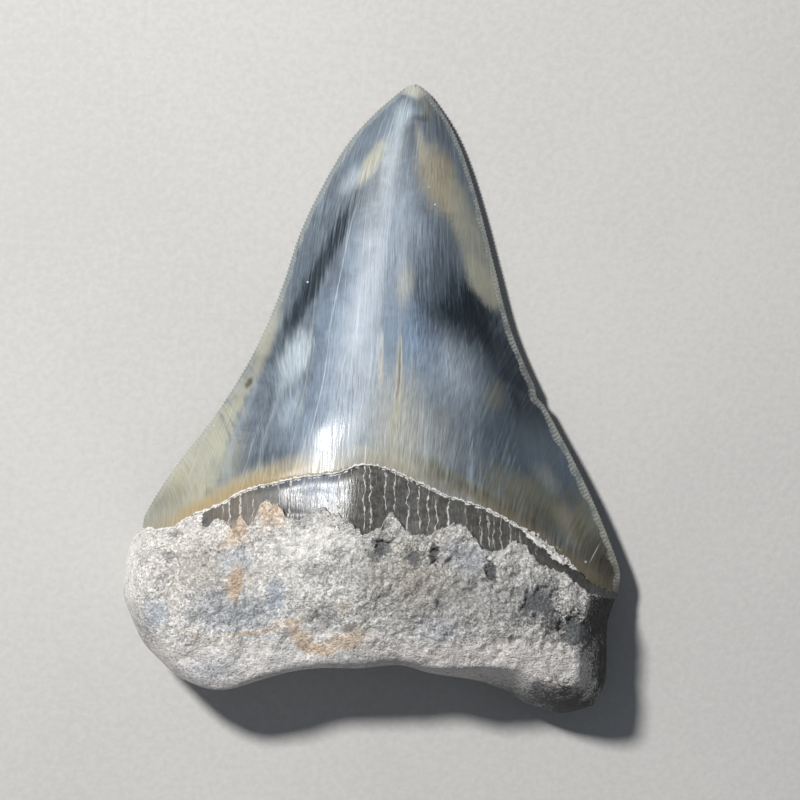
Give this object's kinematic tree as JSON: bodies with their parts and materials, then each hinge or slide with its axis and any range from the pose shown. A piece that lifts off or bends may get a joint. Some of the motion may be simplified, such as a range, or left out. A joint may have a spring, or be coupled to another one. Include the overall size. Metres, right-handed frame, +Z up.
{
  "type": "megalodon tooth",
  "caption": "Fossil megalodon tooth: broad serrated triangular crown with a dark band above a thick two-lobed root under a rough mineral crust, lying on its flatter face.",
  "frame": {"origin": "middle of the bounding box, on the ground that the labial face rests on", "axes": "+Z up, out of the lingual face; +Y along the tooth, to the tip of the crown; +X to the right, seen from above with the tip away from the viewer"},
  "size_m": [0.0912, 0.1138, 0.0234],
  "materials": {
    "fossil_tooth": "polished slate-blue enamel over a matte, rough light grey root"
  },
  "bodies": {
    "root": {"megalodon_tooth": "fossil_tooth"}
  },
  "joints": []
}
